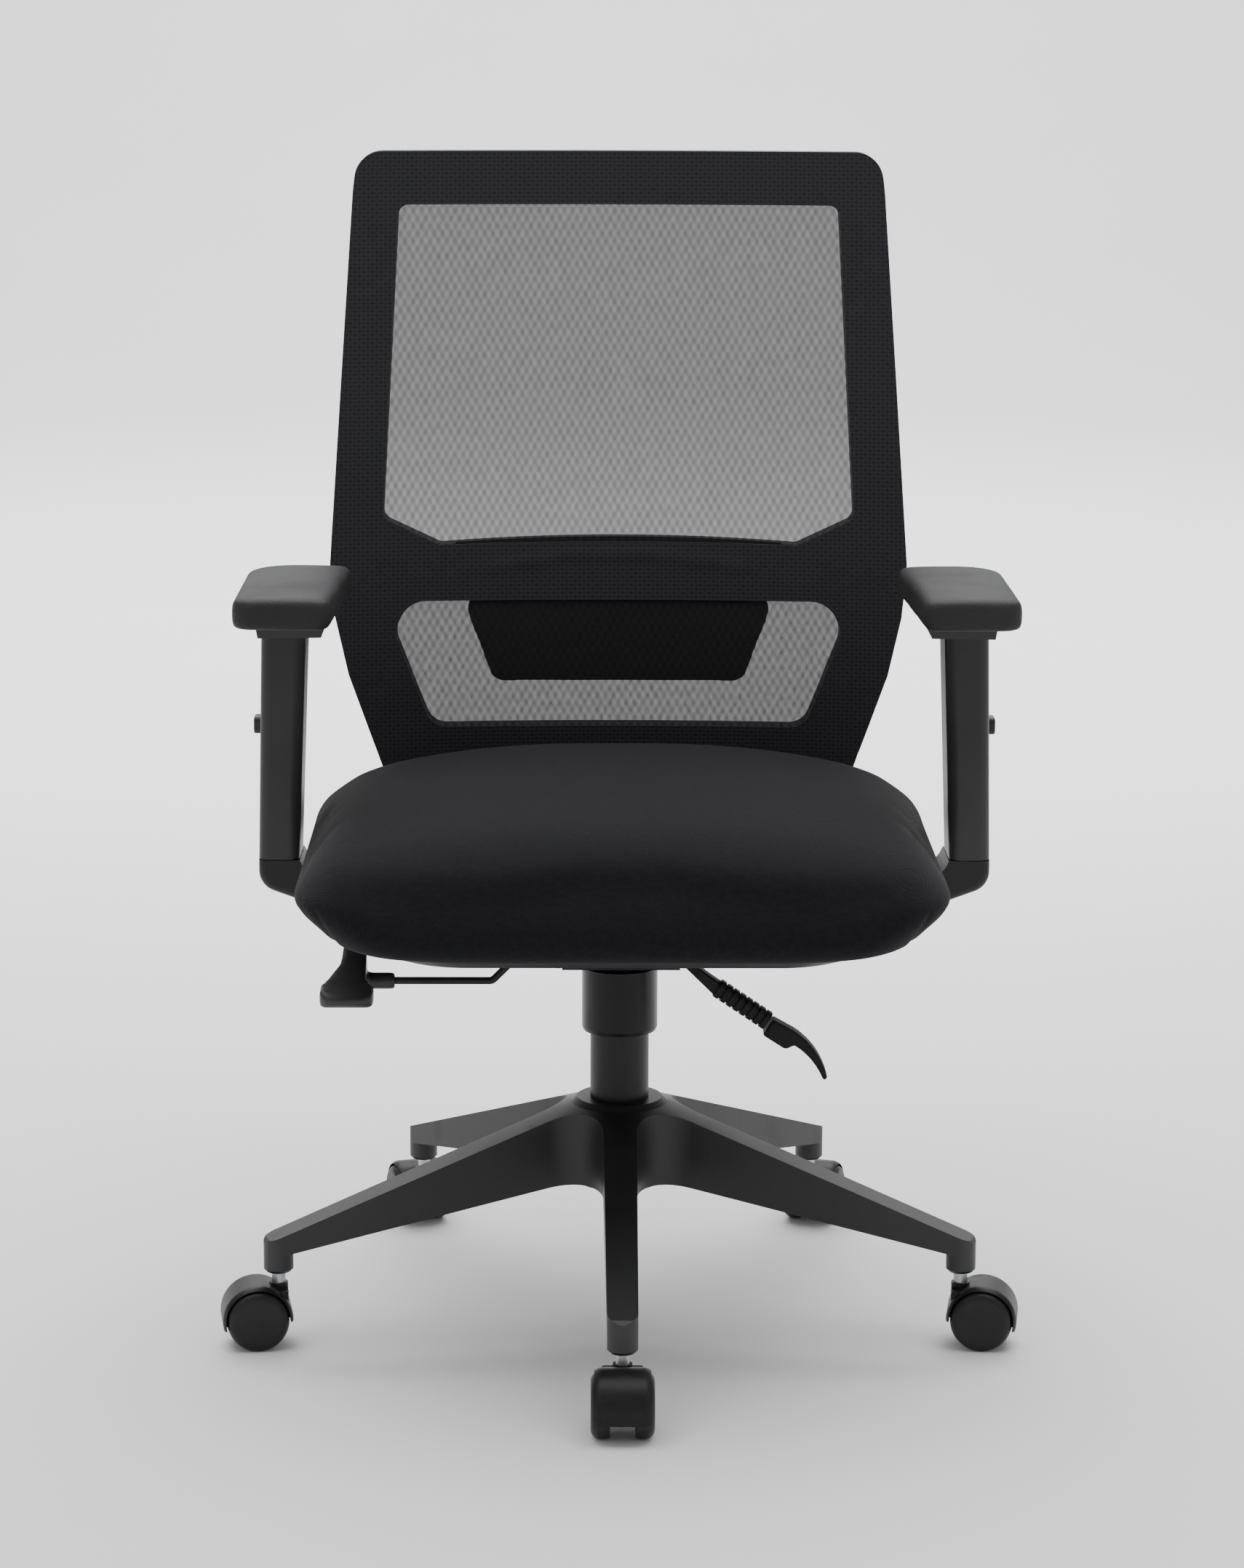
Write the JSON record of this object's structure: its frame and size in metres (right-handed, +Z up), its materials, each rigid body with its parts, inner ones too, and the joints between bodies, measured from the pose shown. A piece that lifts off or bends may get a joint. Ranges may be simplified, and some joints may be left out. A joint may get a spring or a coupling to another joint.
{
  "type": "swivel office chair",
  "caption": "Black task chair with a mesh back, upholstered seat, height-adjustable arms, gas column and a star base on hooded casters.",
  "frame": {"origin": "the column's axis at floor level, between the caster wheels", "axes": "+Z up along the column; the chair faces -Y; +X is to the left hand of a person who sits in it"},
  "size_m": [0.6482, 0.6639, 0.94],
  "materials": {
    "caster_wheel_nylon": "matt black nylon wheel",
    "caster_hood_nylon": "satin black nylon",
    "bright_steel": "zinc plated",
    "black_painted_steel": "black powder coat",
    "ground_steel": "ground bright",
    "seat_fabric": "fine woven black upholstery over foam",
    "back_mesh_fabric": "open black knitted mesh",
    "plywood": "raw plywood",
    "soft_pad": "matt soft polyurethane skin",
    "lever_rubber": "ribbed rubber",
    "pale_plastic": "self-lubricating acetal",
    "black_plastic": "fine-textured black nylon"
  },
  "bodies": {
    "base": {"star_base": "black_plastic", "socket_rings": "bright_steel", "gas_tube": "black_painted_steel", "guide_bushing": "pale_plastic", "thrust_bearing": "bright_steel"},
    "piston": {"piston_rod": "ground_steel", "rod_clip": "bright_steel"},
    "mechanism": {"gas_cylinder": "ground_steel", "column_cover": "black_plastic", "mechanism_housing": "black_painted_steel", "mechanism_axles": "bright_steel", "tilt_spring": "bright_steel"},
    "height_lever": {"height_lever_rod": "black_painted_steel", "height_lever_paddle": "black_plastic"},
    "lock_lever": {"lock_lever_neck": "lever_rubber", "lock_lever_grip": "black_plastic"},
    "seat": {"seat_plate": "black_painted_steel", "seat_shell": "black_plastic", "seat_board": "plywood", "seat_cushion": "seat_fabric", "arm_bracket_left": "black_plastic", "arm_bracket_right": "black_plastic"},
    "back": {"back_bracket": "black_painted_steel", "back_frame": "black_plastic", "back_bolts": "bright_steel", "back_mesh": "back_mesh_fabric"},
    "lumbar": {"lumbar_pad": "soft_pad", "lumbar_guides": "black_plastic"},
    "arm_left": {"arm_sleeve_left": "black_plastic", "arm_pad_left": "soft_pad"},
    "arm_button_left": {"arm_button_left": "black_plastic"},
    "arm_right": {"arm_sleeve_right": "black_plastic", "arm_pad_right": "soft_pad"},
    "arm_button_right": {"arm_button_right": "black_plastic"},
    "caster_front": {"front_caster_stem": "bright_steel", "front_caster_hood": "caster_hood_nylon", "front_caster_axle": "bright_steel"},
    "wheel_front_a": {"front_caster_wheel_a": "caster_wheel_nylon"},
    "wheel_front_b": {"front_caster_wheel_b": "caster_wheel_nylon"},
    "caster_right": {"right_caster_stem": "bright_steel", "right_caster_hood": "caster_hood_nylon", "right_caster_axle": "bright_steel"},
    "wheel_right_a": {"right_caster_wheel_a": "caster_wheel_nylon"},
    "wheel_right_b": {"right_caster_wheel_b": "caster_wheel_nylon"},
    "caster_rear_right": {"rear_right_caster_stem": "bright_steel", "rear_right_caster_hood": "caster_hood_nylon", "rear_right_caster_axle": "bright_steel"},
    "wheel_rear_right_a": {"rear_right_caster_wheel_a": "caster_wheel_nylon"},
    "wheel_rear_right_b": {"rear_right_caster_wheel_b": "caster_wheel_nylon"},
    "caster_rear_left": {"rear_left_caster_stem": "bright_steel", "rear_left_caster_hood": "caster_hood_nylon", "rear_left_caster_axle": "bright_steel"},
    "wheel_rear_left_a": {"rear_left_caster_wheel_a": "caster_wheel_nylon"},
    "wheel_rear_left_b": {"rear_left_caster_wheel_b": "caster_wheel_nylon"},
    "caster_left": {"left_caster_stem": "bright_steel", "left_caster_hood": "caster_hood_nylon", "left_caster_axle": "bright_steel"},
    "wheel_left_a": {"left_caster_wheel_a": "caster_wheel_nylon"},
    "wheel_left_b": {"left_caster_wheel_b": "caster_wheel_nylon"}
  },
  "joints": [
    {"name": "chair_swivel", "type": "hinge", "parent": "base", "child": "piston", "pos_m": [0, 0, 0.12], "axis": [0, 0, 1], "continuous": true},
    {"name": "seat_height", "type": "slide", "parent": "piston", "child": "mechanism", "axis": [0, 0, 1], "range_m": [-0.025, 0.075]},
    {"name": "back_recline", "type": "hinge", "parent": "mechanism", "child": "back", "pos_m": [0, 0.048, 0.309], "axis": [-1, 0, 0], "range_deg": [0, 15]},
    {"name": "seat_tilt", "type": "hinge", "parent": "mechanism", "child": "seat", "pos_m": [0, -0.075, 0.32], "axis": [-1, 0, 0], "range_deg": [0, 6]},
    {"name": "lumbar_height", "type": "slide", "parent": "back", "child": "lumbar", "axis": [0, 0.14, 0.9902], "range_m": [-0.014, 0.013]},
    {"name": "height_lever_lift", "type": "hinge", "parent": "mechanism", "child": "height_lever", "pos_m": [-0.0445, -0.05, 0.314], "axis": [0, 1, 0], "range_deg": [0, 3.5], "stiffness_Nm_per_rad": 2},
    {"name": "tilt_lock_lever_turn", "type": "hinge", "parent": "mechanism", "child": "lock_lever", "pos_m": [0.0445, -0.042, 0.3105], "axis": [0, -1, 0], "range_deg": [0, 5]},
    {"name": "arm_height_left", "type": "slide", "parent": "seat", "child": "arm_left", "axis": [0, 0, 1], "range_m": [0, 0.07]},
    {"name": "arm_button_press_left", "type": "slide", "parent": "arm_left", "child": "arm_button_left", "axis": [1, 0, 0], "range_m": [0, 0.003], "stiffness_N_per_m": 900},
    {"name": "arm_height_right", "type": "slide", "parent": "seat", "child": "arm_right", "axis": [0, 0, 1], "range_m": [0, 0.07]},
    {"name": "arm_button_press_right", "type": "slide", "parent": "arm_right", "child": "arm_button_right", "axis": [-1, 0, 0], "range_m": [0, 0.003], "stiffness_N_per_m": 900},
    {"name": "caster_swivel_front", "type": "hinge", "parent": "base", "child": "caster_front", "pos_m": [0, -0.29, 0.07], "axis": [0, 0, 1], "continuous": true},
    {"name": "wheel_roll_front_a", "type": "hinge", "parent": "caster_front", "child": "wheel_front_a", "pos_m": [0, -0.308, 0.025], "axis": [1, 0, 0], "continuous": true},
    {"name": "wheel_roll_front_b", "type": "hinge", "parent": "caster_front", "child": "wheel_front_b", "pos_m": [0, -0.308, 0.025], "axis": [1, 0, 0], "continuous": true},
    {"name": "caster_swivel_right", "type": "hinge", "parent": "base", "child": "caster_right", "pos_m": [0.27581, -0.08962, 0.07], "axis": [0, 0, 1], "continuous": true},
    {"name": "wheel_roll_right_a", "type": "hinge", "parent": "caster_right", "child": "wheel_right_a", "pos_m": [0.29363, -0.09212, 0.025], "axis": [0.1392, 0.9903, 0], "continuous": true},
    {"name": "wheel_roll_right_b", "type": "hinge", "parent": "caster_right", "child": "wheel_right_b", "pos_m": [0.29363, -0.09212, 0.025], "axis": [0.1392, 0.9903, 0], "continuous": true},
    {"name": "caster_swivel_rear_right", "type": "hinge", "parent": "base", "child": "caster_rear_right", "pos_m": [0.17046, 0.23461, 0.07], "axis": [0, 0, 1], "continuous": true},
    {"name": "wheel_roll_rear_right_a", "type": "hinge", "parent": "caster_rear_right", "child": "wheel_rear_right_a", "pos_m": [0.17602, 0.25173, 0.025], "axis": [-0.9511, 0.309, 0], "continuous": true},
    {"name": "wheel_roll_rear_right_b", "type": "hinge", "parent": "caster_rear_right", "child": "wheel_rear_right_b", "pos_m": [0.17602, 0.25173, 0.025], "axis": [-0.9511, 0.309, 0], "continuous": true},
    {"name": "caster_swivel_rear_left", "type": "hinge", "parent": "base", "child": "caster_rear_left", "pos_m": [-0.17046, 0.23461, 0.07], "axis": [0, 0, 1], "continuous": true},
    {"name": "wheel_roll_rear_left_a", "type": "hinge", "parent": "caster_rear_left", "child": "wheel_rear_left_a", "pos_m": [-0.17602, 0.25173, 0.025], "axis": [-0.9511, -0.309, 0], "continuous": true},
    {"name": "wheel_roll_rear_left_b", "type": "hinge", "parent": "caster_rear_left", "child": "wheel_rear_left_b", "pos_m": [-0.17602, 0.25173, 0.025], "axis": [-0.9511, -0.309, 0], "continuous": true},
    {"name": "caster_swivel_left", "type": "hinge", "parent": "base", "child": "caster_left", "pos_m": [-0.27581, -0.08962, 0.07], "axis": [0, 0, 1], "continuous": true},
    {"name": "wheel_roll_left_a", "type": "hinge", "parent": "caster_left", "child": "wheel_left_a", "pos_m": [-0.29363, -0.09212, 0.025], "axis": [0.1392, -0.9903, 0], "continuous": true},
    {"name": "wheel_roll_left_b", "type": "hinge", "parent": "caster_left", "child": "wheel_left_b", "pos_m": [-0.29363, -0.09212, 0.025], "axis": [0.1392, -0.9903, 0], "continuous": true}
  ],
  "couplings": [
    {"joint": "seat_tilt", "follows": "back_recline", "ratio": 0.4}
  ]
}
